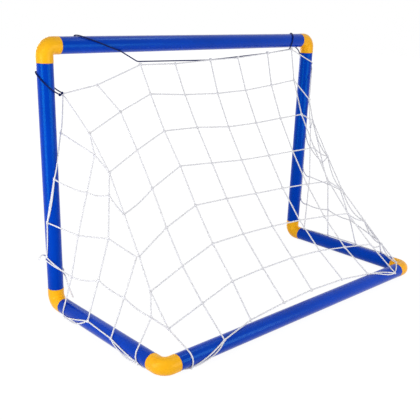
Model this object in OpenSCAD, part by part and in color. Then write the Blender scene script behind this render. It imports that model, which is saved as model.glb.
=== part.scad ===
// Toy hockey goal: a push-together frame of plastic tube and two-way elbows.
// Its knotted net hangs on a lacing cord under the top bar and is tied to the left post.
// X runs along the bars, +Y points out of the goal mouth and Z is up.
// The origin is on the floor, at the middle of the frame's footprint.

/* [Frame] */
// Width between the centre lines of the two posts
goal_width = 590; // [450:5:900]
// Height from the base tubes' centre lines to the top bar's
goal_height = 400; // [300:5:600]
// Depth from the posts' centre lines back to the rear bar's
goal_depth = 275; // [200:5:450]

/* [Tubes] */
// Outside diameter of every tube
tube_diameter = 25; // [20:0.5:32]
// Wall of every tube
tube_wall = 2; // [1.2:0.1:3]
// Chamfer round the rim of each tube end
tube_chamfer = 0.4; // [0.2:0.1:0.8]

/* [Elbows] */
// How far an elbow's skin stands proud of the tubes
elbow_proud = 0.3; // [0:0.1:2]
// Radius left at the inside corner of the bend
elbow_inner_radius = 1.2; // [0.6:0.2:20]
// Straight collar between the bend and the tube end
collar_length = 10; // [4:1:30]
// Length of each spigot inside its tube
spigot_length = 22; // [10:1:40]
// Radial clearance of a spigot in its tube
spigot_clearance = 0.3; // [0.1:0.05:0.5]
// Wall of a spigot
spigot_wall = 2; // [1.2:0.1:3]
// Chamfer round an elbow's shoulders
elbow_chamfer = 0.5; // [0.2:0.1:1]
// Lead-in chamfer at the tip of a spigot
spigot_chamfer = 0.8; // [0.2:0.1:1.5]

/* [Net] */
// Thickness of the net, that of its twine
net_thickness = 2.2; // [1:0.1:3]
// How far the middle of the back net bellies into the goal
net_sag = 24; // [0:1:60]
// How far the two folds of the net belly into the goal
fold_sag = 35; // [0:1:60]
// How far the left fold is pulled away from the left post
left_fold_pull = 34; // [0:1:60]
// How far the right fold is pulled away from the right post
right_fold_pull = 13; // [0:1:60]

/* [Cords] */
// Diameter of the dark lacing cord and of the dark post tie
cord_diameter = 2; // [1.5:0.1:3]
// Diameter of the white twine of the foot tie
twine_diameter = 2.2; // [1.2:0.1:3]
// Clearance between a wound cord and the tube inside it
cord_clearance = 0.3; // [0.1:0.05:0.5]

/* [Hidden] */
$fn = 64;

tube_color = "#0a3cc8";
elbow_color = "#ffc014";
net_color = "#e6e6ee";
cord_color = "#101a38";

tube_radius = tube_diameter / 2;
tube_bore_radius = tube_radius - tube_wall;
elbow_radius = tube_radius + elbow_proud;
spigot_radius = tube_bore_radius - spigot_clearance;
elbow_bore_radius = spigot_radius - spigot_wall;
bend_radius = elbow_radius + elbow_inner_radius;
shoulder = bend_radius + collar_length;

post_x = goal_width / 2;
mouth_y = goal_depth / 2;
base_z = elbow_radius;
top_z = base_z + goal_height;

bar_length = goal_width - 2 * shoulder;
post_length = goal_height - 2 * shoulder;
base_length = goal_depth - 2 * shoulder;

// The net's edges run this far beside a tube's centre line, and this far over or behind it
edge_aside = 5;
edge_over = elbow_radius + net_thickness / 2 + 1.7;
// Where the folds of the net start: in from the post, back from the mouth and under the bar
left_fold_top = [24, 9.5, 68.5];
right_fold_top = [14, 11.5, 42.5];
// Where the folds of the net end along the rear bar, in from the post
left_fold_foot = 33;
right_fold_foot = 10;
// Clearance between the lacing cord and the net's edge under it
hem_clearance = 0.4;
// The free run of the lacing cord: share of the goal's width from the middle, drop under the bar
cord_run = [[-0.24, 31], [0.02, 34], [0.28, 25], [0.388, 19]];
// The slack top edge of the net between the left fold and the cord: share of the width, drop
slack_hem = [-0.37, 52];
// Rows down the net and the share of each side net's width between its columns
net_rows = 7;
side_columns = [0, 1 / 3, 2 / 3];

// A wound cord takes one step of this angle at a time, and no chord of it cuts into the tube
wrap_step = 30;
cord_sides = 8;
// Left end of the lacing cord, one slanting turn: share of the width, angle from the bar's rear
cord_left_turn = [
    [-0.345, 225], [-0.368, 195], [-0.390, 165], [-0.404, 135], [-0.410, 105], [-0.404, 75],
    [-0.388, 45], [-0.355, 15], [-0.320, -15], [-0.284, -45]
];
// Right end of the lacing cord, one turn the other way round
cord_right_turn = [
    [0.396, -45], [0.395, -15], [0.398, 15], [0.404, 45], [0.410, 75], [0.418, 105],
    [0.427, 135], [0.436, 165], [0.443, 195], [0.449, 225], [0.453, 255]
];
// The tail of the lacing cord: share of the width, behind the bar's centre line, drop
cord_tail = [[0.453, 3, 19], [0.451, 7, 25]];
// The dark tie round the left post: drop under the bar, tilt to each side and climb a turn
post_tie_drop = 51;
post_tie_tilt = 14;
post_tie_pitch = 2;
post_tie_low_angle = 50;
post_tie_first_turn = 30;
post_tie_last_turn = 330;
// Its two ends at the net: in from the post's skin, behind the mouth and under the bar
post_tie_start = [6, 7, 69.5];
post_tie_end = [10, 7, 67];
// The white tie round the foot of the left post: height over the base, tilt and fall a turn
foot_tie_height = 70;
foot_tie_tilt = 12;
foot_tie_pitch = 5;
foot_tie_low_angle = 70;
foot_tie_first_turn = 210;
foot_tie_last_turn = 690;
// Its loose tail inside the goal: in from the post's skin, behind the mouth and over the base
foot_tie_tail = [[2, 9, 42], [2, 12, 32], [4, 17, 20], [6, 22, 9]];
// Its short outer tail: the same measures, out past the post's skin
foot_tie_stub = [[-11, -7, 75], [-8, -6, 83], [-2, -5, 82]];

function unit(v) = v / norm(v);
function mix(a, b, share) = a + (b - a) * share;

// Down the back of the goal from the top bar to the rear bar, and square to it into the goal
down_back = unit([0, -goal_depth, -goal_height]);
inward = unit([0, goal_height, -goal_depth]);

// A point under the top bar, a share of the width from the middle, down the back of the goal
function under_bar(share, drop) = [share * goal_width, mouth_y, top_z] + drop * down_back;

// A point beside the top bar, in a plane across it
function beside_bar(share, behind, drop) = [share * goal_width, mouth_y - behind, top_z - drop];

// The belly of a hanging edge, one at its middle and none at its ends
function belly(share) = 4 * share * (1 - share);

// --- Net: rows of points, from the top edge down to the base -------------------------------

net_top_columns = concat(
    [[-post_x + left_fold_top[0], mouth_y - left_fold_top[1], top_z - left_fold_top[2]]],
    [under_bar(slack_hem[0], slack_hem[1])],
    [for (p = cord_run) under_bar(p[0], p[1] + cord_diameter / 2 + hem_clearance)],
    [[post_x - right_fold_top[0], mouth_y - right_fold_top[1], top_z - right_fold_top[2]]]
);
back_columns = len(net_top_columns);
left_foot_x = -post_x + left_fold_foot;
right_foot_x = post_x - right_fold_foot;

// How far across the back a column lies, from 0 at the left fold to 1 at the right one
function across(column) =
    (net_top_columns[column][0] - net_top_columns[0][0])
    / (net_top_columns[back_columns - 1][0] - net_top_columns[0][0]);

// How much a column shares in the folds' shape: all at a fold, nothing in the middle
function fold_share(column) = pow(2 * across(column) - 1, 4);

function fold_pull(column) =
    across(column) < 0.5 ? left_fold_pull * fold_share(column) : -right_fold_pull * fold_share(column);

function back_point(column, share) =
    mix(
        net_top_columns[column],
        [mix(left_foot_x, right_foot_x, across(column)), -mouth_y + edge_aside, base_z + edge_over],
        share
    )
    + belly(share) * mix(net_sag, fold_sag, fold_share(column)) * inward
    + belly(share) * [fold_pull(column), 0, 0];

// The front edge of a side net: down its post, from its fold's height to the base tube
function front_point(side, share) =
    let (fold_top = net_top_columns[side < 0 ? 0 : back_columns - 1])
    [side * (post_x - edge_aside), mouth_y - edge_over, mix(fold_top[2], base_z + edge_over, share)];

// The base edge of a side net keeps over the base tube until its last column
function side_point(side, column, share) =
    let (
        front = front_point(side, share),
        fold = back_point(side < 0 ? 0 : back_columns - 1, share),
        point = mix(front, fold, column)
    )
    share < 1 ? point : [side * (post_x - edge_aside), point[1], point[2]];

net_points = [
    for (row = [0:net_rows])
        let (share = row / net_rows)
        concat(
            [for (column = side_columns) side_point(-1, column, share)],
            [for (column = [0:back_columns - 1]) back_point(column, share)],
            [for (i = [len(side_columns) - 1:-1:0]) side_point(1, side_columns[i], share)]
        )
];

// A closed sheet of even thickness through rows of points
module sheet(rows, thickness) {
    n = len(rows);
    m = len(rows[0]);
    normals = [
        for (i = [0:n - 1])
            [
                for (j = [0:m - 1])
                    let (
                        down = rows[min(i + 1, n - 1)][j] - rows[max(i - 1, 0)][j],
                        along = rows[i][min(j + 1, m - 1)] - rows[i][max(j - 1, 0)]
                    )
                    unit(cross(down, along))
            ]
    ];
    front = [for (i = [0:n - 1]) for (j = [0:m - 1]) rows[i][j] + normals[i][j] * thickness / 2];
    back = [for (i = [0:n - 1]) for (j = [0:m - 1]) rows[i][j] - normals[i][j] * thickness / 2];
    count = n * m;
    faces = concat(
        [
            for (i = [0:n - 2])
                for (j = [0:m - 2])
                    let (a = i * m + j, b = a + 1, c = a + m, d = c + 1)
                    each [
                        [a, b, d], [a, d, c],
                        [count + a, count + d, count + b], [count + a, count + c, count + d]
                    ]
        ],
        [
            for (j = [0:m - 2])
                let (a = j, b = j + 1, c = (n - 1) * m + j, d = c + 1)
                each [
                    [a, count + b, b], [a, count + a, count + b],
                    [c, d, count + d], [c, count + d, count + c]
                ]
        ],
        [
            for (i = [0:n - 2])
                let (a = i * m, b = a + m, c = a + m - 1, d = c + m)
                each [
                    [a, b, count + b], [a, count + b, count + a],
                    [c, count + d, d], [c, count + c, count + d]
                ]
        ]
    );
    polyhedron(points = concat(front, back), faces = faces);
}

// --- Cords: round tubes swept along lists of points ----------------------------------------

function wrap_radius(diameter) =
    (tube_radius + cord_clearance + diameter / 2) / cos(wrap_step / 2);

// A point wound on the top bar: the angle starts behind the bar and turns up over it
function on_bar(share, angle) =
    let (radius = wrap_radius(cord_diameter))
    [share * goal_width, mouth_y - radius * cos(angle), top_z + radius * sin(angle)];

// A point wound on the left post: the angle starts behind the post and turns into the goal
function on_post(height, angle, diameter) =
    let (radius = wrap_radius(diameter))
    [-post_x + radius * sin(angle), mouth_y - radius * cos(angle), height];

// A point clear of the left post's skin, into the goal or, below zero, out of it
function by_post(clear, behind, height) =
    [-post_x + sign(clear) * (tube_radius + abs(clear)), mouth_y - behind, height];

function heading(path, i) = unit(path[min(i + 1, len(path) - 1)] - path[max(i - 1, 0)]);

// Side vectors carried along a path without twist
function carried(path, i, side) =
    i == len(path)
        ? []
        : let (ahead = heading(path, i), now = unit(side - ahead * (side * ahead)))
            concat([now], carried(path, i + 1, now));

// A cord of 8 sides along a path
module cord(path, diameter) {
    first = heading(path, 0);
    start = abs(first[2]) < 0.9 ? [0, 0, 1] : [1, 0, 0];
    side = carried(path, 0, start);
    points = [
        for (i = [0:len(path) - 1])
            for (k = [0:cord_sides - 1])
                let (angle = 360 * k / cord_sides, across = cross(heading(path, i), side[i]))
                path[i] + (side[i] * cos(angle) + across * sin(angle)) * diameter / 2
    ];
    last = (len(path) - 1) * cord_sides;
    faces = concat(
        [[for (k = [0:cord_sides - 1]) k]],
        [[for (k = [cord_sides - 1:-1:0]) last + k]],
        [
            for (i = [0:len(path) - 2])
                for (k = [0:cord_sides - 1])
                    let (
                        a = i * cord_sides + k,
                        b = i * cord_sides + (k + 1) % cord_sides,
                        c = a + cord_sides,
                        d = b + cord_sides
                    )
                    each [[a, c, d], [a, d, b]]
        ]
    );
    polyhedron(points = points, faces = faces);
}

lacing_path = concat(
    [for (p = cord_left_turn) on_bar(p[0], p[1])],
    [for (p = cord_run) under_bar(p[0], p[1])],
    [for (p = cord_right_turn) on_bar(p[0], p[1])],
    [for (p = cord_tail) beside_bar(p[0], p[1], p[2])]
);

post_tie_path = concat(
    [by_post(post_tie_start[0], post_tie_start[1], top_z - post_tie_start[2])],
    [
        for (turn = [post_tie_first_turn:wrap_step:post_tie_last_turn])
            on_post(
                top_z - post_tie_drop - post_tie_tilt * cos(turn) + post_tie_pitch * turn / 360,
                post_tie_low_angle - turn,
                cord_diameter
            )
    ],
    [by_post(post_tie_end[0], post_tie_end[1], top_z - post_tie_end[2])]
);

foot_tie_path = concat(
    [for (p = foot_tie_stub) by_post(p[0], p[1], base_z + p[2])],
    [
        for (turn = [foot_tie_first_turn:wrap_step:foot_tie_last_turn])
            on_post(
                base_z + foot_tie_height - foot_tie_tilt * cos(turn) - foot_tie_pitch * turn / 360,
                foot_tie_low_angle - turn,
                twine_diameter
            )
    ],
    [for (p = foot_tie_tail) by_post(p[0], p[1], base_z + p[2])]
);

// --- Frame -------------------------------------------------------------------------------

// A tube standing on the origin, with chamfered rims
module tube(length) {
    rotate_extrude()
        polygon([
            [tube_bore_radius, 0],
            [tube_radius - tube_chamfer, 0],
            [tube_radius, tube_chamfer],
            [tube_radius, length - tube_chamfer],
            [tube_radius - tube_chamfer, length],
            [tube_bore_radius, length]
        ]);
}

// One leg of an elbow, from the end of its bend to the tip of its spigot
module elbow_leg() {
    rotate_extrude()
        polygon([
            [elbow_bore_radius, 0],
            [elbow_radius, 0],
            [elbow_radius, collar_length - elbow_chamfer],
            [elbow_radius - elbow_chamfer, collar_length],
            [spigot_radius, collar_length],
            [spigot_radius, collar_length + spigot_length - spigot_chamfer],
            [spigot_radius - spigot_chamfer, collar_length + spigot_length],
            [elbow_bore_radius, collar_length + spigot_length]
        ]);
}

// A two-way elbow with its corner on the origin and its legs along +X and +Y
module elbow() {
    color(elbow_color) {
        translate([bend_radius, bend_radius, 0])
            rotate([0, 0, 180])
                rotate_extrude(angle = 90)
                    translate([bend_radius, 0])
                        difference() {
                            circle(r = elbow_radius);
                            circle(r = elbow_bore_radius);
                        }
        translate([bend_radius, 0, 0])
            rotate([0, 90, 0])
                elbow_leg();
        translate([0, bend_radius, 0])
            rotate([-90, 0, 0])
                elbow_leg();
    }
}

module top_bar() {
    color(tube_color)
        translate([-bar_length / 2, mouth_y, top_z])
            rotate([0, 90, 0])
                tube(bar_length);
}

module rear_bar() {
    color(tube_color)
        translate([-bar_length / 2, -mouth_y, base_z])
            rotate([0, 90, 0])
                tube(bar_length);
}

module post(side) {
    color(tube_color)
        translate([side * post_x, mouth_y, base_z + shoulder])
            tube(post_length);
}

module base_tube(side) {
    color(tube_color)
        translate([side * post_x, -base_length / 2, base_z])
            rotate([-90, 0, 0])
                tube(base_length);
}

// The left elbows have a leg along +X, and the right ones mirror them
module top_elbow(side) {
    translate([side * post_x, mouth_y, top_z])
        mirror([side > 0 ? 1 : 0, 0, 0])
            rotate([-90, 0, 0])
                elbow();
}

module front_elbow(side) {
    translate([side * post_x, mouth_y, base_z])
        rotate([0, -90, 180])
            elbow();
}

module rear_elbow(side) {
    translate([side * post_x, -mouth_y, base_z])
        mirror([side > 0 ? 1 : 0, 0, 0])
            elbow();
}

module net() {
    color(net_color)
        sheet(net_points, net_thickness);
}

module lacing_cord() {
    color(cord_color)
        cord(lacing_path, cord_diameter);
}

module left_post_tie() {
    color(cord_color)
        cord(post_tie_path, cord_diameter);
}

module left_foot_tie() {
    color(net_color)
        cord(foot_tie_path, twine_diameter);
}

top_bar();
post(-1);  // left_post
post(1);  // right_post
base_tube(-1);  // left_base_tube
base_tube(1);  // right_base_tube
rear_bar();
top_elbow(-1);  // top_left_elbow
top_elbow(1);  // top_right_elbow
front_elbow(-1);  // front_left_elbow
front_elbow(1);  // front_right_elbow
rear_elbow(-1);  // rear_left_elbow
rear_elbow(1);  // rear_right_elbow
net();
lacing_cord();
left_post_tie();
left_foot_tie();
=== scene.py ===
"""Looks of a toy hockey goal: a push-together plastic frame with a knotted net on a lacing cord.

The frame's tubes and elbows are the CAD nodes, with moulded-plastic materials.  The net, the dark
cords and the white foot tie are made here, string by string, in the space of their CAD solids.
Lengths are in millimetres until a mesh is made.
"""
import math

import bpy
import numpy as np
from mathutils import Matrix, Vector


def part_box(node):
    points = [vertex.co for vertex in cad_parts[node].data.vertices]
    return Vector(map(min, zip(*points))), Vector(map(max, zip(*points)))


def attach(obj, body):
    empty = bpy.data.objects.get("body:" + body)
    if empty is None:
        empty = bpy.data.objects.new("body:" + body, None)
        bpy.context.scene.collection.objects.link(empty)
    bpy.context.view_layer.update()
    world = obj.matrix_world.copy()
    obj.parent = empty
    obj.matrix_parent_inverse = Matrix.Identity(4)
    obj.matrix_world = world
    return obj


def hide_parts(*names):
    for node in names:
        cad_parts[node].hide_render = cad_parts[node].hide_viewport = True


MM = 0.001

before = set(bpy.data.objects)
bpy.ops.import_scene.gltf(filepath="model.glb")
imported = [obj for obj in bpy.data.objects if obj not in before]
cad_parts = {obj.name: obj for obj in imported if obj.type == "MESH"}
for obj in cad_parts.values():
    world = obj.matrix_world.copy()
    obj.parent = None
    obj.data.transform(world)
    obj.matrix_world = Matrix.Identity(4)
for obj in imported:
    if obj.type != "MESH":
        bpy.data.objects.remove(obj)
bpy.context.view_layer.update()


# --- Places on the frame, all taken from the CAD nodes -----------------------------------------

def node_box(name):
    low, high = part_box(name)
    return np.array(low) / MM, np.array(high) / MM


def node_middle(name):
    return sum(node_box(name)) / 2


LEFT_X, MOUTH_Y, _ = node_middle("left_post")
RIGHT_X = node_middle("right_post")[0]
_, REAR_Y, BASE_Z = node_middle("rear_bar")
TOP_Z = node_middle("top_bar")[2]
WIDTH = RIGHT_X - LEFT_X
TUBE_R = LEFT_X - node_box("left_post")[0][0]
ELBOW_R = LEFT_X - node_box("front_left_elbow")[0][0]
SHOULDER = MOUTH_Y - node_box("left_base_tube")[1][1]
SIDE_X = {"L": LEFT_X, "R": RIGHT_X}
DOWN_BACK = np.array([0, REAR_Y - MOUTH_Y, BASE_Z - TOP_Z])
DOWN_BACK /= np.linalg.norm(DOWN_BACK)

CORNERS = {
    "TL": (LEFT_X, MOUTH_Y, TOP_Z), "TR": (RIGHT_X, MOUTH_Y, TOP_Z),
    "FL": (LEFT_X, MOUTH_Y, BASE_Z), "FR": (RIGHT_X, MOUTH_Y, BASE_Z),
    "RL": (LEFT_X, REAR_Y, BASE_Z), "RR": (RIGHT_X, REAR_Y, BASE_Z),
}
TUBE_ENDS = [("TL", "TR"), ("TL", "FL"), ("TR", "FR"), ("FL", "RL"), ("FR", "RR"), ("RL", "RR")]


def push_clear(points, gap):
    """Moves points out of the tubes and the floor, to a gap from their skins."""
    flat = points.reshape(-1, 3)
    for one, other in TUBE_ENDS:
        a, b = np.array(CORNERS[one]), np.array(CORNERS[other])
        length = np.linalg.norm(b - a)
        along = (flat - a) @ (b - a) / length
        nearest = a + np.clip(along / length, 0, 1)[:, None] * (b - a)
        off = flat - nearest
        away = np.linalg.norm(off, axis=1)
        in_elbow = np.minimum(along, length - along) < SHOULDER
        want = np.where(in_elbow, ELBOW_R, TUBE_R) + gap
        move = (away < want)[:, None] * off * (want / np.maximum(away, 1e-6) - 1)[:, None]
        flat += move
    flat[:, 2] = np.maximum(flat[:, 2], gap)


def under_bar(x, drop):
    """A point under the top bar, down the slant of the goal's back."""
    return np.array([x, MOUTH_Y, TOP_Z]) + drop * DOWN_BACK


def by_post(side, height, angle, radius):
    """A point round a post: angle 0 behind it, 90 towards +X."""
    a = math.radians(angle)
    return np.array([SIDE_X[side] + radius * math.sin(a), MOUTH_Y - radius * math.cos(a), height])


def by_base(side, y, angle, radius):
    """A point round a base tube: angle 0 above it, 90 towards +X."""
    a = math.radians(angle)
    return np.array([SIDE_X[side] + radius * math.sin(a), y, BASE_Z + radius * math.cos(a)])


def by_rear(x, angle, radius):
    """A point round the rear bar: angle 0 behind it, 90 above it."""
    a = math.radians(angle)
    return np.array([x, REAR_Y - radius * math.cos(a), BASE_Z + radius * math.sin(a)])


# --- Camera ------------------------------------------------------------------------------------

def aimed(place, aim, roll=0.0):
    """The turn that makes a camera or a lamp at a place look at another place."""
    look = Vector(aim) - Vector(place)
    return (look.to_track_quat("-Z", "Y").to_matrix() @ Matrix.Rotation(roll, 3, "Z")).to_euler()


def make_camera(place, aim, roll, lens, shift):
    data = bpy.data.cameras.new("camera")
    data.lens = lens
    data.sensor_width = 36
    data.shift_x, data.shift_y = shift
    camera = bpy.data.objects.new("camera", data)
    camera.location = place
    camera.rotation_euler = aimed(place, aim, roll)
    bpy.context.scene.collection.objects.link(camera)
    bpy.context.scene.camera = camera


# From behind the left rear corner, a little above the top bar; the shift keeps the posts' lean
make_camera((-0.788, -0.734, 0.469), (-0.223, -0.103, 0.165), math.radians(1.4), 56.4, (0.05, 0.08))


# --- Meshes ------------------------------------------------------------------------------------

def resample(path, step):
    """The same line with points about a step apart."""
    path = np.asarray(path, float)
    gaps = np.linalg.norm(np.diff(path, axis=0), axis=1)
    at = np.concatenate([[0], np.cumsum(gaps)])
    count = max(3, int(round(at[-1] / step)) + 1)
    s = np.linspace(0, at[-1], count)
    return np.stack([np.interp(s, at, path[:, k]) for k in range(3)], 1)


def smooth_path(path, step, rounds=3, reach=6.0):
    """A curve through given points, straight but for a bend within reach of each point."""
    held = [np.asarray(path[0], float)]
    for one, other in zip(path, path[1:]):
        span = np.subtract(other, one)
        length = np.linalg.norm(span)
        if length > 2.5 * reach:
            held += [one + span * reach / length, other - span * reach / length]
        held.append(np.asarray(other, float))
    path = np.array(held)
    for _ in range(rounds):
        a, b = path[:-1], path[1:]
        cut = np.empty((2 * len(a), 3))
        cut[0::2], cut[1::2] = a * 0.75 + b * 0.25, a * 0.25 + b * 0.75
        path = np.concatenate([path[:1], cut, path[-1:]])
    return resample(path, step)


def side_vectors(path, closed):
    """Two vectors square to a path at each point, carried along it without twist."""
    if closed:
        ahead = np.roll(path, -1, 0) - np.roll(path, 1, 0)
    else:
        ahead = np.gradient(path, axis=0)
    ahead /= np.maximum(np.linalg.norm(ahead, axis=1), 1e-9)[:, None]
    side = np.empty_like(path)
    carried = np.eye(3)[np.argmin(np.abs(ahead[0]))]
    for i, t in enumerate(ahead):
        carried = carried - t * (carried @ t)
        carried /= np.linalg.norm(carried)
        side[i] = carried
    if closed:
        last = side[-1] - ahead[0] * (side[-1] @ ahead[0])
        miss = math.atan2(np.cross(last, side[0]) @ ahead[0], last @ side[0])
        turn = np.linspace(0, miss, len(path))[:, None]
        side = side * np.cos(turn) + np.cross(ahead, side) * np.sin(turn)
    return side, np.cross(ahead, side)


def knot_loop(middle, normal, along, size):
    """A small trefoil, the shape of a tightened knot, lying across a surface."""
    along = along - normal * (along @ normal)
    along /= np.linalg.norm(along)
    across = np.cross(normal, along)
    t = np.linspace(0, 2 * math.pi, 36, endpoint=False)[:, None]
    flat = along * (np.sin(t) + 2 * np.sin(2 * t)) + across * (np.cos(t) - 2 * np.cos(2 * t))
    return middle + size * (flat - 1.1 * normal * np.sin(3 * t))


class Cordage:
    """Collects swept cords into one mesh.  U runs along a cord in millimetres, V round it once."""

    def __init__(self):
        self.points, self.faces, self.uvs, self.count = [], [], [], 0

    def sweep(self, path, radius, sides=9, plies=0, groove=0.02, pitch=9.0, phase=0.0, closed=False):
        side, other = side_vectors(path, closed)
        gaps = np.linalg.norm(np.diff(path, axis=0), axis=1)
        at = np.concatenate([[0], np.cumsum(gaps)])
        angle = np.arange(sides) * 2 * math.pi / sides
        reach = np.full((len(path), sides), radius, float)
        if plies:
            turn = at[:, None] * 2 * math.pi / pitch + phase
            reach *= 1 - groove + groove * np.cos(plies * (angle[None] - turn))
        if not closed:
            reach[0] *= 0.55
            reach[-1] *= 0.55
        ring = (side[:, None] * np.cos(angle)[None, :, None]
                + other[:, None] * np.sin(angle)[None, :, None]) * reach[..., None]
        self.points.append((path[:, None] + ring).reshape(-1, 3))
        n = len(path)
        for i in range(n if closed else n - 1):
            a, b = self.count + i * sides, self.count + ((i + 1) % n) * sides
            ua = at[i]
            ub = at[i + 1] if i + 1 < n else at[i] + 1
            for k in range(sides):
                j = (k + 1) % sides
                self.faces.append((a + k, a + j, b + j, b + k))
                va, vb = k / sides, (k + 1) / sides
                self.uvs += [(ua, va), (ua, vb), (ub, vb), (ub, va)]
        if not closed:
            end = self.count + (n - 1) * sides
            self.faces.append(tuple(self.count + k for k in reversed(range(sides))))
            self.faces.append(tuple(end + k for k in range(sides)))
            self.uvs += [(0, 0)] * sides + [(at[-1], 0)] * sides
        self.count += n * sides

    def piece(self, name, material, slot, *replaced):
        """One smooth mesh piece, pressed clear of the frame and riding on it."""
        points = np.concatenate(self.points)
        push_clear(points, 0.03)
        mesh = bpy.data.meshes.new(name)
        mesh.from_pydata((points * MM).tolist(), [], self.faces)
        mesh.polygons.foreach_set("use_smooth", [True] * len(mesh.polygons))
        layer = mesh.uv_layers.new(name="UVMap")
        layer.data.foreach_set("uv", np.array(self.uvs, np.float32).ravel())
        mesh.materials.append(material)
        mesh.update()
        piece = bpy.data.objects.new(name, mesh)
        bpy.context.scene.collection.objects.link(piece)
        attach(piece, "root")
        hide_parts(*replaced)
        return piece


# --- Materials ---------------------------------------------------------------------------------

class Paint:
    """A node material: a Principled shader and short calls for what feeds it."""

    def __init__(self, name, **sockets):
        self.material = bpy.data.materials.new(name)
        self.material.use_nodes = True
        self.tree = self.material.node_tree
        self.shader = self.tree.nodes["Principled BSDF"]
        self.coords = self.tree.nodes.new("ShaderNodeTexCoord")
        for socket, value in sockets.items():
            self.shader.inputs[socket.replace("_", " ")].default_value = value

    def node(self, kind, **settings):
        node = self.tree.nodes.new(kind)
        for key, value in settings.items():
            if key in node.inputs:
                node.inputs[key].default_value = value
            else:
                setattr(node, key, value)
        return node

    def link(self, source, target):
        self.tree.links.new(source, target)
        return source

    def place(self, stretch=(1, 1, 1), coordinates="Object"):
        mapping = self.node("ShaderNodeMapping")
        mapping.inputs["Scale"].default_value = stretch
        self.link(self.coords.outputs[coordinates], mapping.inputs["Vector"])
        return mapping.outputs["Vector"]

    def noise(self, scale, detail=3.0, roughness=0.55, at=None):
        node = self.node("ShaderNodeTexNoise", Scale=scale, Detail=detail, Roughness=roughness)
        self.link(at or self.place(), node.inputs["Vector"])
        return node.outputs["Fac"]

    def spread(self, value, low, high, to_low=0.0, to_high=1.0):
        node = self.node("ShaderNodeMapRange")
        for key, number in zip(("From Min", "From Max", "To Min", "To Max"), (low, high, to_low, to_high)):
            node.inputs[key].default_value = number
        self.link(value, node.inputs["Value"])
        return node.outputs["Result"]

    def math(self, operation, a, b=None):
        node = self.node("ShaderNodeMath", operation=operation)
        for socket, value in zip(node.inputs, (a, b)):
            if isinstance(value, (int, float)):
                socket.default_value = value
            elif value is not None:
                self.link(value, socket)
        return node.outputs["Value"]

    def blend(self, factor, one, other):
        node = self.node("ShaderNodeMix", data_type="RGBA")
        for socket, value in ((6, one), (7, other)):
            if isinstance(value, tuple):
                node.inputs[socket].default_value = value + (1,)
            else:
                self.link(value, node.inputs[socket])
        self.link(factor, node.inputs[0])
        return node.outputs[2]

    def color(self, value):
        self.link(value, self.shader.inputs["Base Color"])

    def rough(self, value):
        self.link(value, self.shader.inputs["Roughness"])

    def bump(self, *layers):
        """Bump layers of (height, strength, distance in metres), one over another."""
        normal = None
        for height, strength, distance in layers:
            node = self.node("ShaderNodeBump", Strength=strength, Distance=distance)
            self.link(height, node.inputs["Height"])
            if normal:
                self.link(normal, node.inputs["Normal"])
            normal = node.outputs["Normal"]
        self.link(normal, self.shader.inputs["Normal"])


BLUE, BLUE_DEEP, BLUE_WORN = (0.0004, 0.040, 0.48), (0.0004, 0.032, 0.41), (0.004, 0.065, 0.48)
YELLOW, YELLOW_DEEP, YELLOW_PALE = (1.0, 0.51, 0.008), (0.98, 0.42, 0.005), (1.0, 0.58, 0.015)
BLUE_SHEEN, YELLOW_SHEEN = (0.02, 0.58, 1.0, 1), (1.0, 0.80, 0.35, 1)
TWINE, TWINE_SHADE = (0.80, 0.80, 0.83), (0.75, 0.75, 0.79)
# The lighter navy is painted light on the lacing cord's braid crests; the darker navy is its colour and
# the painted shade in the grooves
NAVY, NAVY_CREST_PAINTED_LIGHT = (0.002, 0.008, 0.080), (0.005, 0.018, 0.130)


def tube_plastic(axis):
    """Extruded blue plastic: fine draw lines along the tube, faint scuffs and handling marks."""
    paint = Paint(f"tube_plastic_{'xyz'[axis]}", Specular_IOR_Level=0.35, Specular_Tint=BLUE_SHEEN)
    along = [1, 1, 1]
    along[axis] = 0.02
    drawn = paint.place(tuple(along))
    clouds = paint.noise(9, detail=4)
    lines = paint.noise(900, detail=2, at=drawn)
    body = paint.blend(paint.spread(clouds, 0.35, 0.65), BLUE_DEEP, BLUE)
    stretch = [1, 1, 1]
    stretch[axis] = 0.12
    scuffs = paint.noise(170, detail=5, roughness=0.7, at=paint.place(tuple(stretch)))
    marks = paint.math("MULTIPLY", paint.spread(scuffs, 0.62, 0.72), paint.spread(clouds, 0.45, 0.7))
    paint.color(paint.blend(paint.math("MULTIPLY", marks, 0.55), body, BLUE_WORN))
    grain = paint.noise(2600, detail=2)
    dulled = paint.math("MULTIPLY", marks, 0.18)
    paint.rough(paint.math("ADD", paint.spread(clouds, 0.3, 0.7, 0.20, 0.28), dulled))
    paint.bump((lines, 0.10, 0.0002), (grain, 0.06, 0.0001))
    return paint.material


def elbow_plastic(axis, level):
    """Moulded yellow plastic with soft orange peel and a faint parting line in the elbow's plane."""
    paint = Paint(f"elbow_plastic_{'xyz'[axis]}_{round(level)}".replace("-", "m"),
                  Specular_IOR_Level=0.4, Specular_Tint=YELLOW_SHEEN)
    clouds = paint.noise(26, detail=4)
    body = paint.blend(paint.spread(clouds, 0.3, 0.7), YELLOW_DEEP, YELLOW)
    specks = paint.noise(420, detail=4, roughness=0.7)
    paint.color(paint.blend(paint.spread(specks, 0.60, 0.80, 0, 0.5), body, YELLOW_PALE))
    paint.rough(paint.spread(clouds, 0.3, 0.7, 0.30, 0.40))
    apart = paint.node("ShaderNodeSeparateXYZ")
    paint.link(paint.coords.outputs["Object"], apart.inputs["Vector"])
    away = paint.math("ABSOLUTE", paint.math("SUBTRACT", apart.outputs[axis], level * MM))
    seam = paint.spread(away, 0.00015, 0.0005, 1.0, 0.0)
    paint.bump((paint.noise(700, detail=2), 0.08, 0.0002), (seam, 0.35, 0.00012))
    return paint.material


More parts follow.
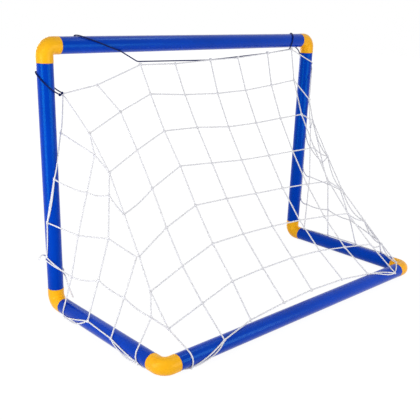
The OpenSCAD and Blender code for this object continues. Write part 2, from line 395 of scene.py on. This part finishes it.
def twine_fibre():
    """White twisted twine: fine filaments across its plies, slightly soiled in patches."""
    paint = Paint("net_twine", Roughness=0.62, Specular_IOR_Level=0.25, Sheen_Weight=0.15)
    patches = paint.noise(30, detail=4)
    fibres = paint.noise(1.0, detail=3, at=paint.place((0.9, 9, 1), "UV"))
    shade = paint.math("MULTIPLY", paint.spread(patches, 0.35, 0.7), paint.spread(fibres, 0.35, 0.7))
    paint.color(paint.blend(shade, TWINE, TWINE_SHADE))
    paint.bump((fibres, 0.08, 0.0002))
    return paint.material


def braid():
    """Dark navy cord: two sets of strands crossing round it; painted light on their crests, painted shade
    in the grooves.
    """
    paint = Paint("lacing_cord", Roughness=0.6, Specular_IOR_Level=0.12)
    apart = paint.node("ShaderNodeSeparateXYZ")
    paint.link(paint.coords.outputs["UV"], apart.inputs["Vector"])
    along = paint.math("MULTIPLY", apart.outputs["X"], 2 * math.pi / 2.4)
    round_ = paint.math("MULTIPLY", apart.outputs["Y"], 2 * math.pi * 3)
    strands = paint.math("MAXIMUM", paint.math("SINE", paint.math("ADD", along, round_)),
                         paint.math("SINE", paint.math("SUBTRACT", along, round_)))
    height = paint.spread(strands, -1, 1)
    fuzz = paint.noise(500, detail=4)
    # Painted light and shade: lighter navy on the strands' crests, darker navy in the grooves between
    # them, following their height
    paint.color(paint.blend(paint.math("MULTIPLY", height, fuzz), NAVY, NAVY_CREST_PAINTED_LIGHT))
    paint.bump((height, 0.6, 0.0003), (fuzz, 0.2, 0.0002))
    return paint.material


tube_by_axis = [tube_plastic(axis) for axis in range(3)]
NODE_MATERIALS = {
    "top_bar": tube_by_axis[0], "rear_bar": tube_by_axis[0],
    "left_base_tube": tube_by_axis[1], "right_base_tube": tube_by_axis[1],
    "left_post": tube_by_axis[2], "right_post": tube_by_axis[2],
}
for ends, axis, level in ((("top_left", "top_right"), 1, MOUTH_Y), (("front_left",), 0, LEFT_X),
                          (("front_right",), 0, RIGHT_X), (("rear_left", "rear_right"), 2, BASE_Z)):
    plastic = elbow_plastic(axis, level)
    for end in ends:
        NODE_MATERIALS[end + "_elbow"] = plastic
for node, material in NODE_MATERIALS.items():
    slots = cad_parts[node].material_slots
    for one in slots:
        one.material = material

twine_material, cord_material = twine_fibre(), braid()


# --- Dark cords and the foot tie, along the CAD's own routes ------------------------------------

WRAP_STEP, CORD_CLEARANCE = 30, 0.3
CORD_D, TWINE_D, NET_TWINE_D = 2.0, 2.2, 2.2
STOPPER_TILT, STOPPER_SIZE = np.array([0.3, 1.0, 0.2]), 0.5


def wrap_radius(diameter):
    return (TUBE_R + CORD_CLEARANCE + diameter / 2) / math.cos(math.radians(WRAP_STEP / 2))


def on_bar(share, angle):
    a, r = math.radians(angle), wrap_radius(CORD_D)
    return (share * WIDTH, MOUTH_Y - r * math.cos(a), TOP_Z + r * math.sin(a))


def clear_of_post(clear, behind, height):
    return (LEFT_X + math.copysign(TUBE_R + abs(clear), clear), MOUTH_Y - behind, height)


LEFT_TURN = [(-0.345, 225), (-0.368, 195), (-0.390, 165), (-0.404, 135), (-0.410, 105), (-0.404, 75),
             (-0.388, 45), (-0.355, 15), (-0.320, -15), (-0.284, -45)]
RUN = [(-0.24, 31), (0.02, 34), (0.28, 25), (0.388, 19)]
RIGHT_TURN = [(0.396, -45), (0.395, -15), (0.398, 15), (0.404, 45), (0.410, 75), (0.418, 105),
              (0.427, 135), (0.436, 165), (0.443, 195), (0.449, 225), (0.453, 255)]
TAIL = [(0.453, 3, 19), (0.451, 7, 25)]
# RUN's points lie close to places that were measured in the photo with the script described at pins
lacing_route = (
    [on_bar(share, angle) for share, angle in LEFT_TURN]
    + [tuple(under_bar(share * WIDTH, drop)) for share, drop in RUN]
    + [on_bar(share, angle) for share, angle in RIGHT_TURN]
    + [(share * WIDTH, MOUTH_Y - behind, TOP_Z - drop) for share, behind, drop in TAIL])

post_tie_route = [clear_of_post(6, 7, TOP_Z - 69.5)]
for turn in range(30, 331, WRAP_STEP):
    height = TOP_Z - 51 - 14 * math.cos(math.radians(turn)) + 2 * turn / 360
    post_tie_route.append(tuple(by_post("L", height, 50 - turn, wrap_radius(CORD_D))))
post_tie_route.append(clear_of_post(10, 7, TOP_Z - 67))

foot_tie_route = [clear_of_post(-11, -7, BASE_Z + 75), clear_of_post(-8, -6, BASE_Z + 83),
                  clear_of_post(-2, -5, BASE_Z + 82)]
for turn in range(210, 691, WRAP_STEP):
    height = BASE_Z + 70 - 12 * math.cos(math.radians(turn)) - 5 * turn / 360
    foot_tie_route.append(tuple(by_post("L", height, 70 - turn, wrap_radius(TWINE_D))))
foot_tie_route += [clear_of_post(2, 9, BASE_Z + 42), clear_of_post(2, 12, BASE_Z + 32),
                   clear_of_post(4, 17, BASE_Z + 20), clear_of_post(6, 22, BASE_Z + 9)]

for name, route, diameter, material, slot in (
        ("lacing_cord_braided", lacing_route, CORD_D, cord_material, "lacing_cord"),
        ("left_post_tie_braided", post_tie_route, CORD_D, cord_material, "lacing_cord"),
        ("left_foot_tie_twisted", foot_tie_route, TWINE_D, twine_material, "net_twine")):
    cord = Cordage()
    laid = diameter == TWINE_D
    cord.sweep(smooth_path(route, 0.7 if laid else 1.0), diameter / 2, sides=12,
               plies=3 if laid else 0)
    for end, next_one in ((route[0], route[1]), (route[-1], route[-2])):
        if not laid:
            # A stopper knot keeps a dark cord's end from slipping back
            along = np.subtract(end, next_one)
            along /= np.linalg.norm(along)
            stopper = knot_loop(np.array(end), along, STOPPER_TILT, STOPPER_SIZE)
            cord.sweep(stopper, diameter / 2, sides=10, closed=True)
    cord.piece(name, material, slot, name.rsplit("_", 1)[0])


# --- The net: knots hung from the cord and the tubes, then the twine between them ---------------

COLUMNS = "abcdefghi"
LAST_ROW = 7
SKIN = TUBE_R + NET_TWINE_D / 2 + 0.15

# Length of twine between knots along each row and down each column of the back.  All the lengths up to
# the end of ODD_LENGTHS are the rounded result of a least-squares fit of the hanging net to the knots
# measured in the photo, made by another script.  They were not chosen by hand.
ROW_LENGTHS = [52, 68, 64, 64, 62, 64, 67, 62]
COLUMN_LENGTHS = [56, 62, 58, 62, 60, 58, 62, 63, 69]
# The same for the side nets: row 1 is the highest, and column 0 is the edge at the post
SIDE_ROWS = {"L": [61, 61, 53, 67, 61], "R": [69, 62, 61, 74, 61]}
SIDE_COLUMNS = {"L": [61, 65, 63, 60, 59], "R": [61, 56, 62, 64, 61]}
# Twines that the fit made longer or shorter than the rest of their row or column
ODD_LENGTHS = {
    "a0 b0": 42, "b0 c0": 68, "a1 b1": 60, "b1 c1": 58, "c1 d1": 64, "e1 f1": 64, "h1 i1": 60,
    "a2 b2": 56, "b2 c2": 56, "h2 i2": 56, "h5 i5": 68,
    "b0 b1": 50, "c0 c1": 36, "c1 c2": 52, "c2 c3": 52, "d0 d1": 52, "d1 d2": 56, "h0 h1": 56,
    "a4 a5": 42, "i0 i1": 82, "i1 i2": 38, "i2 i3": 74, "i6 i7": 40,
    "L11 L21": 56, "L40 L41": 60, "L11 a1": 28, "L11 a2": 32, "L22 a2": 32, "L33 a4": 2,
    "L44 a5": 28, "L44 a6": 26,
    "R11 R21": 38, "R21 R31": 60, "R31 R41": 60, "R22 R32": 44, "R32 R33": 40, "R32 R42": 58,
    "R44 R54": 44, "R11 i1": 62, "R11 i2": 36, "R22 i2": 82, "R33 i4": 6, "R44 i6": 2,
}

# Knots held by the cord and the tubes.  Most of these places come from a second script, which put
# points measured in the photo onto the cord's plane and the tubes' skins.
pins = {"a0": (LEFT_X + 24, MOUTH_Y - 6, TOP_Z - 68.5)}
for column, x, drop in (("c", -138, 37), ("d", -67, 38), ("e", 14, 34), ("f", 82, 32),
                        ("g", 164, 25), ("h", 236, 19)):
    pins[column + "0"] = under_bar(x, drop)
pins["i0"] = by_post("R", TOP_Z - 47, 73, SKIN)
pins.update({
    "L10": (LEFT_X + 18, MOUTH_Y - 6, 287), "L20": by_post("L", 220, -6, SKIN),
    "L30": by_post("L", 151, -66, SKIN), "L40": by_post("L", 93, -90, SKIN),
    "R10": by_post("R", 300, 75, SKIN), "R30": by_post("R", 150, 60, SKIN),
    "R40": by_post("R", 84, 60, SKIN),
    "L51": by_base("L", 95, -130, SKIN), "L52": by_base("L", 29, -50, SKIN),
    "L53": by_base("L", -34, -64, SKIN), "L54": by_base("L", -97, -116, SKIN),
    "R51": by_base("R", 103, -9, SKIN), "R52": by_base("R", 45, 17, SKIN + 0.8),
    "R53": by_base("R", -24, 17, SKIN + 0.8), "R54": by_base("R", -83, 24, SKIN + 0.8),
    "a7": by_rear(-253, -49, SKIN), "b7": by_rear(-189, 52, SKIN), "h7": by_rear(244, 23, SKIN),
    "i7": by_rear(281, 128, SKIN),
})
for column, x, lift in (("c", -122, 17), ("d", -47, 24), ("e", 21, 27), ("f", 104, 24), ("g", 182, 14)):
    pins[column + "7"] = (x, REAR_Y + 4, BASE_Z + lift)
pins = {name: np.array(place, float) for name, place in pins.items()}

# Every length of twine, from knot to knot
twines = []
for row in range(LAST_ROW + 1):
    for left, right in zip(COLUMNS, COLUMNS[1:]):
        twines.append((f"{left}{row}", f"{right}{row}", ROW_LENGTHS[row]))
for column, length in zip(COLUMNS, COLUMN_LENGTHS):
    for row in range(LAST_ROW):
        twines.append((f"{column}{row}", f"{column}{row + 1}", length))
for side, fold in (("L", "a"), ("R", "i")):
    rows, columns = SIDE_ROWS[side], SIDE_COLUMNS[side]
    twines.append((fold + "0", side + "10", columns[0]))
    for k in range(1, 4):
        twines.append((f"{side}{k}0", f"{side}{k + 1}0", columns[0]))
    for k in range(1, 5):
        for j in range(k):
            twines.append((f"{side}{k}{j}", f"{side}{k}{j + 1}", rows[k - 1]))
        for j in range(1, k + 1):
            twines.append((f"{side}{k}{j}", f"{side}{k + 1}{j}", columns[j]))
    for j in range(1, 4):
        twines.append((f"{side}5{j}", f"{side}5{j + 1}", rows[4]))
    twines.append((side + "54", fold + "7", rows[4]))
    for k, rows_met in ((1, (1, 2)), (2, (2, 3)), (3, (4,)), (4, (5, 6))):
        for row in rows_met:
            twines.append((f"{side}{k}{k}", f"{fold}{row}", 45))
twines = [(a, b, ODD_LENGTHS.get(f"{a} {b}", length)) for a, b, length in twines]
knot_names = sorted({name for a, b, _ in twines for name in (a, b)})


def first_guess(name):
    """Where a free knot starts: on a flat slanting back, or between a post and the fold."""
    if name in pins:
        return pins[name]
    if name[0] in COLUMNS:
        column, share = name[0], int(name[1]) / LAST_ROW
        top = pins.get(column + "0", under_bar(LEFT_X + 60, 50))
        return top * (1 - share) + pins[column + "7"] * share
    side, k, j = name[0], int(name[1]), int(name[2])
    fold = first_guess(("a" if side == "L" else "i") + str(round(k * LAST_ROW / 5)))
    edge = pins.get(f"{side}{k}0", by_post(side, 230, 60, SKIN))
    return edge * (1 - j / k) + fold * (j / k)


def hang_knots(steps=2500, weight=0.077, pace=0.35, drag=0.93, lowest=2.0):
    """Lets the free knots settle: each twine pulls once it is taut, and every knot has weight."""
    index = {name: i for i, name in enumerate(knot_names)}
    place = np.array([first_guess(name) for name in knot_names], float)
    speed = np.zeros_like(place)
    free = np.array([name not in pins for name in knot_names])
    a = np.array([index[one] for one, _, _ in twines])
    b = np.array([index[other] for _, other, _ in twines])
    length = np.array([size for _, _, size in twines], float)
    for _ in range(steps):
        gap = place[b] - place[a]
        reach = np.linalg.norm(gap, axis=1)
        pull = gap * (np.maximum(reach - length, 0) / np.maximum(reach, 1e-6))[:, None]
        force = np.zeros_like(place)
        np.add.at(force, a, pull)
        np.add.at(force, b, -pull)
        force[:, 2] -= weight
        speed = (speed + force * pace) * drag
        speed[~free] = 0
        place += speed * pace
        place[:, 2] = np.maximum(place[:, 2], lowest)
    return dict(zip(knot_names, place))


def lay_twines(runs, weight=0.003, drag=0.97, pieces=20):
    """Paths of twines between fixed ends.  Each is pulled short round the tubes, then let out to
    its own length, so that spare twine sags.  A run is the points to start from and a length."""
    shorten_steps, shorten, sag_steps, length_steps, ease, fastest = 300, 0.45, 900, 8, 0.02, 1.0
    path = []
    for run in runs:
        points = resample(run[:-1], 1)
        at = np.linspace(0, len(points) - 1, pieces + 1)
        path.append(np.stack([np.interp(at, np.arange(len(points)), points[:, k]) for k in range(3)], 1))
    path = np.array(path)
    ends = path[:, [0, -1]].copy()
    gap = NET_TWINE_D / 2 + 0.05
    for _ in range(shorten_steps):
        path[:, 1:-1] += shorten * (path[:, :-2] + path[:, 2:] - 2 * path[:, 1:-1])
        push_clear(path, gap)
        path[:, [0, -1]] = ends
    shortest = np.linalg.norm(np.diff(path, axis=1), axis=2).sum(1)
    length = np.array([run[-1] for run in runs])
    loose = length > shortest * 1.001
    taut, path, ends = path.copy(), path[loose], ends[loose]
    step = (length[loose] / pieces)[:, None]
    speed = np.zeros_like(path)
    for _ in range(sag_steps):
        before = path.copy()
        path = path + speed * drag
        path[:, 1:-1, 2] -= weight
        for _ in range(length_steps):
            for half in (0, 1):
                one, other = path[:, half:-1:2], path[:, half + 1::2]
                size = min(one.shape[1], other.shape[1])
                one, other = one[:, :size], other[:, :size]
                span = other - one
                reach = np.linalg.norm(span, axis=2)
                fix = span * (0.5 * (reach - step) / np.maximum(reach, 1e-6))[..., None]
                one += fix
                other -= fix
                path[:, [0, -1]] = ends
        path[:, 1:-1] += ease * (path[:, :-2] + path[:, 2:] - 2 * path[:, 1:-1])
        push_clear(path, gap)
        path[:, [0, -1]] = ends
        speed = np.clip(path - before, -fastest, fastest)
    taut[loose] = path
    return taut


def ring_round(middle, axis, radius, turns, pitch, start=0.0):
    """Turns of twine round a cord or a tube."""
    axis = axis / np.linalg.norm(axis)
    side = np.cross(axis, [0, 0, 1.0] if abs(axis[2]) < 0.9 else [1.0, 0, 0])
    side /= np.linalg.norm(side)
    other = np.cross(axis, side)
    t = np.linspace(0, 2 * math.pi * turns, max(8, int(20 * turns)))[:, None]
    lift = (t / (2 * math.pi) - turns / 2) * pitch
    return middle + axis * lift + radius * (side * np.cos(t + start) + other * np.sin(t + start))


knots = hang_knots()
rng = np.random.default_rng(7)
UNDER = ELBOW_R - BASE_Z + 0.2     # height of twine pressed flat between a tube and the floor
# Second strands beside the first: where the net is gathered, and where its edge is tied down
doubled = [("h0", "i0", 1.02), ("a7", "b7", 1.03), ("g7", "h7", 1.02), ("L51", "L52", 1.03),
           ("L53", "L54", 1.03), ("L20", "L30", 1.004), ("i2", "i3", 1.02), ("i3", "i4", 1.03),
           ("i4", "i5", 1.04), ("i5", "i6", 1.05), ("i6", "i7", 1.03)]
# Places that a twine passes on its way over the rear bar
OVER_BAR = {"a6 a7": [by_rear(-256, 85, SKIN), by_rear(-251, 15, SKIN)]}
# Spare length of the twines that hang loose; the rest lie almost straight between their knots
ALMOST_STRAIGHT = 1.003
LOOSE = {"a0 b0": 1.012, "b0 c0": 1.03, "L10 L11": 1.012, "L21 L22": 1.012, "L30 L31": 1.006,
         "L41 L42": 1.006, "R20 R21": 1.02, "R30 R31": 1.03, "R40 R41": 1.02, "h6 i6": 1.03, "h7 i7": 1.02}
# No twine is laid where two knots all but meet, nor across the corner, which has its own route below
SHORTEST_LAID = 10
runs = []
for a, b, length in twines:
    if length > SHORTEST_LAID and (a, b) != ("L54", "a7"):
        span = np.linalg.norm(knots[a] - knots[b])
        slack = LOOSE.get(f"{a} {b}", ALMOST_STRAIGHT)
        runs.append((knots[a], *OVER_BAR.get(f"{a} {b}", []), knots[b], min(length, span * slack)))
for a, b, spare in doubled:
    runs.append((knots[a], knots[b], spare * np.linalg.norm(knots[a] - knots[b])))
# Step along a swept twine of the net, the length of one turn of its plies, and its sides
TWINE_STEP, TWINE_TURN, TWINE_SIDES = 1.6, 18.0, 8
net = Cordage()
for path in lay_twines(runs):
    net.sweep(smooth_path(path, TWINE_STEP, rounds=2), NET_TWINE_D / 2, sides=TWINE_SIDES, plies=3,
              pitch=TWINE_TURN, phase=rng.uniform(0, 6.28))

# The border of the net passes under the rear left corner, between the two lowest knots
corner_route = [knots["L54"], (LEFT_X - 6, REAR_Y + 32, UNDER + 0.6), (LEFT_X + 2, REAR_Y + 26, UNDER),
                (LEFT_X + 16, REAR_Y + 15, UNDER + 0.8), (LEFT_X + 28, REAR_Y + 4, UNDER),
                (LEFT_X + 36, REAR_Y - 5, UNDER + 0.6), knots["a7"]]
net.sweep(smooth_path(corner_route, TWINE_STEP), NET_TWINE_D / 2, sides=TWINE_SIDES, plies=3,
          pitch=TWINE_TURN)

# Knots: a lump where twines meet, and small turns of twine at the hem.  The turns go round the cord at
# e0 and g0 and run into it at f0.  The knots c0 and h0 are 5 to 6 mm from it, so their turns miss it.
BACK_NORMAL = np.cross([1.0, 0, 0], DOWN_BACK)
KNOT_SIZE, KNOT_SPREAD, KNOT_TWINE_R = 0.66, 0.05, 0.95
HEM_LIFT, HEM_TURNS, HEM_PITCH = 0.4, 2.2, 1.6
for name in knot_names:
    # These knots all but touch another one
    if name in ("L33", "R33", "R44"):
        continue
    place = knots[name]
    if name[0] in COLUMNS:
        normal, along = BACK_NORMAL, np.array([1.0, 0, 0])
    else:
        normal, along = np.array([1.0, 0, 0]), np.array([0, 1.0, 0])
    turned = rng.uniform(0, 6.28)
    along = along * math.cos(turned) + np.cross(normal, along) * math.sin(turned)
    size = KNOT_SIZE + KNOT_SPREAD * rng.uniform(-1, 1)
    net.sweep(knot_loop(place, normal, along, size), KNOT_TWINE_R, sides=TWINE_SIDES, closed=True)
for name in ("c0", "e0", "f0", "g0", "h0"):
    turns = ring_round(knots[name] + (0, 0, HEM_LIFT), np.array([1.0, 0, 0]), CORD_D / 2 + 0.8,
                       HEM_TURNS, HEM_PITCH, rng.uniform(0, 6))
    net.sweep(turns, NET_TWINE_D / 2, sides=TWINE_SIDES)
net.piece("net_knotted_twine", twine_material, "net_twine", "net")


# --- Floor, light and surroundings --------------------------------------------------------------

def white_for_camera(tree, lit, share=None):
    """Mixes in plain white, seen only by the camera, glossy and transmission rays."""
    path = tree.nodes.new("ShaderNodeLightPath")
    seen = tree.nodes.new("ShaderNodeMath")
    seen.operation = "MAXIMUM"
    tree.links.new(path.outputs["Is Camera Ray"], seen.inputs[0])
    tree.links.new(path.outputs["Is Transmission Ray"], seen.inputs[1])
    part = tree.nodes.new("ShaderNodeMath")
    part.operation = "MULTIPLY_ADD"
    tree.links.new(path.outputs["Is Glossy Ray"], part.inputs[0])
    part.inputs[1].default_value = GLOSSY_WHITE
    tree.links.new(seen.outputs[0], part.inputs[2])
    scaled = tree.nodes.new("ShaderNodeMath")
    scaled.operation = "MULTIPLY"
    scaled.use_clamp = True
    scaled.inputs[1].default_value = 1.0
    if share:
        tree.links.new(share, scaled.inputs[1])
    tree.links.new(part.outputs[0], scaled.inputs[0])
    mix = tree.nodes.new("ShaderNodeMixShader")
    tree.links.new(scaled.outputs[0], mix.inputs[0])
    tree.links.new(lit, mix.inputs[1])
    return mix


GLOSSY_WHITE = 1.0
AMBIENT = 0.42
FLOOR_COLOR, FLOOR_GLOW = (0.85, 0.85, 0.85, 1), 1.06
# Distances from the middle over which the floor's own shading fades, and how white it is at each
FADE = (0.45, 1.2, 0.90, 1.0)
world = bpy.data.worlds.new("surroundings")
bpy.context.scene.world = world
world.use_nodes = True
tree = world.node_tree
ambient = tree.nodes["Background"]
ambient.inputs["Color"].default_value = (1, 1, 1, 1)
ambient.inputs["Strength"].default_value = AMBIENT
white = tree.nodes.new("ShaderNodeBackground")
white.inputs["Color"].default_value = (1, 1, 1, 1)
white.inputs["Strength"].default_value = 1.0
mix = white_for_camera(tree, ambient.outputs[0])
tree.links.new(white.outputs[0], mix.inputs[2])
tree.links.new(mix.outputs[0], tree.nodes["World Output"].inputs["Surface"])

floor_mesh = bpy.data.meshes.new("floor")
REACH = 6.0
floor_mesh.from_pydata([(-REACH, -REACH, 0), (REACH, -REACH, 0), (REACH, REACH, 0), (-REACH, REACH, 0)],
                       [], [(0, 1, 2, 3)])
floor = bpy.data.objects.new("floor", floor_mesh)
bpy.context.scene.collection.objects.link(floor)
floor_material = bpy.data.materials.new("studio_floor")
floor_material.use_nodes = True
tree = floor_material.node_tree
matte = tree.nodes["Principled BSDF"]
matte.inputs["Base Color"].default_value = FLOOR_COLOR
matte.inputs["Roughness"].default_value = 0.9
matte.inputs["Specular IOR Level"].default_value = 0.0
glow = tree.nodes.new("ShaderNodeEmission")
glow.inputs["Strength"].default_value = FLOOR_GLOW
# Near the goal a part of the floor's own shading shows, and with it the goal's shadow
coords = tree.nodes.new("ShaderNodeTexCoord")
away = tree.nodes.new("ShaderNodeVectorMath")
away.operation = "LENGTH"
tree.links.new(coords.outputs["Object"], away.inputs[0])
fade = tree.nodes.new("ShaderNodeMapRange")
for key, number in zip(("From Min", "From Max", "To Min", "To Max"), FADE):
    fade.inputs[key].default_value = number
tree.links.new(away.outputs["Value"], fade.inputs["Value"])
mix = white_for_camera(tree, matte.outputs[0], fade.outputs["Result"])
tree.links.new(glow.outputs[0], mix.inputs[2])
tree.links.new(mix.outputs[0], tree.nodes["Material Output"].inputs["Surface"])
floor_mesh.materials.append(floor_material)


def softbox(name, place, aim, size, power):
    data = bpy.data.lights.new(name, "AREA")
    data.shape = "RECTANGLE"
    data.size, data.size_y = size
    data.energy = power
    lamp = bpy.data.objects.new(name, data)
    bpy.context.scene.collection.objects.link(lamp)
    lamp.location = place
    lamp.rotation_euler = aimed(place, aim)
    lamp.visible_camera = False


softbox("key", (-1.05, -0.35, 1.0), (-0.15, 0.05, 0.25), (0.7, 0.7), 2.2)
softbox("left", (-0.88, -0.04, 0.22), (LEFT_X * MM, 0.05, 0.22), (0.32, 0.42), 2.2)
softbox("rear", (0.22, -0.95, 0.27), (0.0, 0, 0.27), (0.85, 0.52), 4.0)
softbox("top", (0.75, -0.13, 1.6), (0, 0.1, 0.4), (0.5, 0.25), 1.6)
softbox("front", (0.2, 2.0, 0.6), (0, 0.1, 0.2), (1.0, 0.8), 14.0)

view = bpy.context.scene.view_settings
view.view_transform = "Standard"
